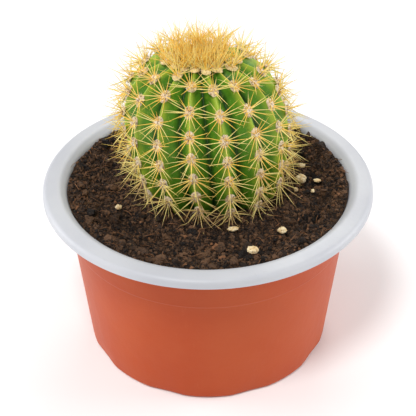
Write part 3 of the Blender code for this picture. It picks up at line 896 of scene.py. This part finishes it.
def make_mix(mix, pot):
    """The mix down to the base of the pot, with its crumbs, clods and fibres."""
    rng = np.random.default_rng(5)
    edge = wall_radius(pot, MIX_LEVEL + 5 * MM) - pot.sheet + 0.2 * MM
    rings, columns = 150, 420
    radii = edge * np.linspace(0.0, 1.0, rings) ** 0.9
    angles = np.linspace(0, 2 * math.pi, columns, endpoint=False)
    surface = np.array([
        (r * math.cos(a), r * math.sin(a), mix_height(r * math.cos(a), r * math.sin(a)))
        for r in radii for a in angles
    ])
    path = sheet_path(pot)
    below = shifted(path, pot.sheet + 0.1 * MM)
    below = below[below[:, 1] < MIX_LEVEL][::-1]
    wall, _ = turned(below, columns)
    vertices = np.concatenate((surface, flute(pot, wall)))
    faces = grid_faces(rings + len(below), columns)
    tone = np.full(len(vertices), 0.3)
    tone[:len(surface)] = 0.15 + 0.4 * rng.uniform(0, 1, len(surface))
    parts = [(vertices, faces[:, ::-1])]
    tones = [tone]
    for sphere, count, low, high in ((1, mix.crumbs, 0.22, 0.8), (2, mix.clods, 0.8, 2.1)):
        points, polygons, shade = crumbs(rng, sphere, count, low * MM, high * MM, edge)
        parts.append((points, polygons))
        tones.append(shade)
    points, polygons = fibres(rng, mix.fibres, edge)
    parts.append((points, polygons))
    tones.append(np.full(len(points), 0.98))
    vertices, faces = joined(parts)
    attributes = {"tone": np.concatenate(tones)}
    peat = mix_finish(mix)
    add_piece("potting_mix", vertices, faces, peat, ["soil"], attributes, smooth=False)


def scatter(rng, count, edge):
    """Places on the mix, between the stem and the wall."""
    places = []
    while len(places) < count:
        x, y = rng.uniform(-edge, edge, 2)
        if math.hypot(x, y) < edge - 0.4 * MM and stem_distance(x, y) > 23.5 * MM:
            places.append((x, y, mix_height(x, y)))
    return np.array(places).reshape(-1, 3)


def crumbs(rng, subdivisions, count, low, high, edge):
    """Irregular lumps that lie on the mix."""
    bm = bmesh.new()
    bmesh.ops.create_icosphere(bm, subdivisions=subdivisions, radius=1.0)
    base = np.array([vertex.co[:] for vertex in bm.verts])
    triangles = np.array([[vertex.index for vertex in face.verts] for face in bm.faces])
    bm.free()
    places = scatter(rng, count, edge)
    size = low + (high - low) * rng.uniform(0, 1, count) ** 2.6
    shape = base[None] * rng.uniform(0.65, 1.25, (count, 1, 3))
    shape = shape * rng.uniform(0.6, 1.25, (count, len(base), 1))
    quaternions = rng.normal(0, 1, (count, 4))
    quaternions /= np.linalg.norm(quaternions, axis=1)[:, None]
    turns = np.array([np.array(turn_matrix(q)) for q in quaternions])
    shape = np.einsum("nij,nkj->nki", turns, shape) * size[:, None, None]
    places[:, 2] += size * 0.25
    vertices = (places[:, None] + shape).reshape(-1, 3)
    faces = (np.arange(count)[:, None, None] * len(base) + triangles).reshape(-1, 3)
    tone = np.repeat(rng.uniform(0, 1, count) ** 1.2, len(base))
    return vertices, faces, tone


def turn_matrix(q):
    """The rotation matrix of a unit quaternion."""
    w, x, y, z = q
    return (
        (1 - 2 * (y * y + z * z), 2 * (x * y - z * w), 2 * (x * z + y * w)),
        (2 * (x * y + z * w), 1 - 2 * (x * x + z * z), 2 * (y * z - x * w)),
        (2 * (x * z - y * w), 2 * (y * z + x * w), 1 - 2 * (x * x + y * y)),
    )


def fibres(rng, count, edge):
    """Thin curled fibres lying on the mix."""
    places = scatter(rng, count, edge)
    angle = rng.uniform(0, 2 * math.pi, count)
    heading = np.stack((np.cos(angle), np.sin(angle), rng.normal(0.05, 0.2, count)), -1)
    curl = np.stack((-np.sin(angle), np.cos(angle), np.zeros(count)), -1) * rng.normal(0, 0.5, count)[:, None]
    reach = rng.uniform(1.5, 5.0, count)[:, None, None] * MM
    t = np.linspace(0, 1, 6)[None, :, None]
    arch = UP * 0.16 * np.sin(t * math.pi)
    paths = places[:, None] + (heading[:, None] * t + curl[:, None] * t**2 + arch) * reach + UP * 0.45 * MM
    radii = rng.uniform(0.05, 0.16, count)[:, None] * MM * np.array((0.6, 1, 1, 1, 0.8, 0.3))
    return tubes(paths, radii, 4)


def make_grains(mix):
    """Each grain is a pitted lump of its own shape, where the CAD has it."""
    material = grain_finish(mix)
    for index, node in enumerate(GRAIN_NODES):
        low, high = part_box(node)
        bm = bmesh.new()
        bmesh.ops.create_icosphere(bm, subdivisions=5, radius=1.0)
        for vertex in bm.verts:
            seed = Vector((index * 4.3, 1.7, 0.0))
            dent = 0.30 * noise.noise(vertex.co * 1.3 + seed) + 0.14 * noise.noise(vertex.co * 3.4 + seed)
            facet = 0.10 * noise.voronoi(vertex.co * 2.2 + seed)[0][0]
            vertex.co *= 1 + dent + facet + 0.03 * noise.noise(vertex.co * 9 + seed)
        reach = [max(abs(vertex.co[axis]) for vertex in bm.verts) for axis in range(3)]
        for vertex in bm.verts:
            for axis in range(3):
                half = (high[axis] - low[axis]) / 2
                vertex.co[axis] = (high[axis] + low[axis]) / 2 + vertex.co[axis] / reach[axis] * half
        mesh = bpy.data.meshes.new(node + "_stone")
        bm.to_mesh(mesh)
        bm.free()
        add_mesh(node + "_stone", mesh, material, [node])


# ---------------- stage


def make_stage(stage):
    """A pale floor, soft light from all round, four lamps and the camera."""
    floor_mesh = bpy.data.meshes.new("floor")
    size = 3.0
    corners = [(-size, -size, 0), (size, -size, 0), (size, size, 0), (-size, size, 0)]
    floor_mesh.from_pydata(corners, [], [(0, 1, 2, 3)])
    paper = Finish(
        "white_paper", Roughness=0.9, Specular_IOR_Level=0.1,
        Emission_Color=(1.0, 1.0, 1.0, 1.0), Emission_Strength=stage.glow,
    )
    paper.wear("Base Color", paper.mix(paper.noise(0.2, 2.0), (0.93, 0.93, 0.93), (0.95, 0.95, 0.95)))
    floor_mesh.materials.append(paper.material)
    floor = bpy.data.objects.new("floor", floor_mesh)
    bpy.context.scene.collection.objects.link(floor)
    world = bpy.data.worlds.new("soft_surroundings")
    world.use_nodes = True
    background = world.node_tree.nodes["Background"]
    background.inputs["Color"].default_value = (1, 1, 1, 1)
    background.inputs["Strength"].default_value = stage.world
    bpy.context.scene.world = world
    lights = (
        ("key_light", (-0.18, -0.40, 0.85), 0.22, stage.key),
        ("left_light", (-0.75, 0.10, 0.30), 0.50, stage.side),
        ("right_light", (0.75, 0.05, 0.30), 0.50, stage.side),
        ("back_light", (0.1, 0.65, 0.6), 0.4, stage.key * 0.4),
    )
    for name, place, width, power in lights:
        data = bpy.data.lights.new(name, "AREA")
        data.shape = "DISK"
        data.size = width
        data.energy = power
        light = bpy.data.objects.new(name, data)
        light.location = place
        aim = Vector(place) - Vector((0, 0, 0.06))
        light.rotation_mode = "QUATERNION"
        light.rotation_quaternion = aim.to_track_quat("Z", "Y")
        bpy.context.scene.collection.objects.link(light)
    add_camera(stage)
    bpy.context.scene.view_settings.view_transform = "Standard"


def add_camera(stage):
    data = bpy.data.cameras.new("camera")
    data.lens = stage.lens
    data.sensor_width = 36.0
    data.clip_start = 0.01
    camera = bpy.data.objects.new("camera", data)
    rise = stage.elevation
    back = Vector((0.0, -math.cos(rise), math.sin(rise)))
    place = Vector((0.05 * MM, 0.0, stage.target)) + back * stage.distance
    view = back.to_track_quat("Z", "Y").to_matrix().to_4x4()
    camera.matrix_world = Matrix.Translation(place) @ view @ Matrix.Rotation(stage.roll, 4, "Z")
    bpy.context.scene.collection.objects.link(camera)
    bpy.context.scene.camera = camera


# ---------------- operators and panel


class CACTUS_OT_pot(bpy.types.Operator):
    """Make the terracotta wall and the grey lining with its rolled rim"""

    bl_idname = "cactus.pot"
    bl_label = "Pot"

    def execute(self, context):
        make_pot(context.scene.cactus_pot)
        return {"FINISHED"}


class CACTUS_OT_mix(bpy.types.Operator):
    """Make the potting mix with its crumbs, clods and fibres"""

    bl_idname = "cactus.mix"
    bl_label = "Potting mix"

    def execute(self, context):
        make_mix(context.scene.cactus_mix, context.scene.cactus_pot)
        return {"FINISHED"}


class CACTUS_OT_grains(bpy.types.Operator):
    """Make the pale grains that lie on the mix"""

    bl_idname = "cactus.grains"
    bl_label = "Pale grains"

    def execute(self, context):
        make_grains(context.scene.cactus_mix)
        return {"FINISHED"}


class CACTUS_OT_stem(bpy.types.Operator):
    """Make the ribbed green stem"""

    bl_idname = "cactus.stem"
    bl_label = "Stem"

    def execute(self, context):
        make_stem(context.scene.cactus_stem)
        return {"FINISHED"}


class CACTUS_OT_rows(bpy.types.Operator):
    """Make each rib's row of felt pads and spines"""

    bl_idname = "cactus.rows"
    bl_label = "Rows of spines"

    def execute(self, context):
        make_rows(context.scene.cactus_stem, context.scene.cactus_spines)
        return {"FINISHED"}


class CACTUS_OT_crown(bpy.types.Operator):
    """Make the felt and the young spines of the crown"""

    bl_idname = "cactus.crown"
    bl_label = "Crown"

    def execute(self, context):
        make_crown(context.scene.cactus_stem, context.scene.cactus_spines)
        return {"FINISHED"}


class CACTUS_OT_stage(bpy.types.Operator):
    """Make the floor, the soft light and the camera"""

    bl_idname = "cactus.stage"
    bl_label = "Stage"

    def execute(self, context):
        make_stage(context.scene.cactus_stage)
        return {"FINISHED"}


class CACTUS_PT_panel(bpy.types.Panel):
    """Lists the pieces of the potted cactus"""

    bl_label = "Potted Round Cactus"
    bl_idname = "CACTUS_PT_panel"
    bl_space_type = "VIEW_3D"
    bl_region_type = "UI"
    bl_category = "Cactus"

    def draw(self, context):
        for operator in OPERATORS:
            self.layout.operator(operator.bl_idname)


GROUPS = {
    "cactus_pot": PotSettings,
    "cactus_stem": StemSettings,
    "cactus_spines": SpineSettings,
    "cactus_mix": MixSettings,
    "cactus_stage": StageSettings,
}
OPERATORS = (
    CACTUS_OT_pot,
    CACTUS_OT_mix,
    CACTUS_OT_grains,
    CACTUS_OT_stem,
    CACTUS_OT_rows,
    CACTUS_OT_crown,
    CACTUS_OT_stage,
)


def register():
    for cls in (*GROUPS.values(), *OPERATORS, CACTUS_PT_panel):
        bpy.utils.register_class(cls)
    for name, cls in GROUPS.items():
        setattr(bpy.types.Scene, name, PointerProperty(type=cls))


def unregister():
    for name in GROUPS:
        delattr(bpy.types.Scene, name)
    for cls in (CACTUS_PT_panel, *reversed(OPERATORS), *reversed(GROUPS.values())):
        bpy.utils.unregister_class(cls)


def main():
    register()
    bpy.ops.cactus.pot()
    bpy.ops.cactus.mix()
    bpy.ops.cactus.grains()
    bpy.ops.cactus.stem()
    bpy.ops.cactus.rows()
    bpy.ops.cactus.crown()
    bpy.ops.cactus.stage()


if __name__ == "__main__":
    main()
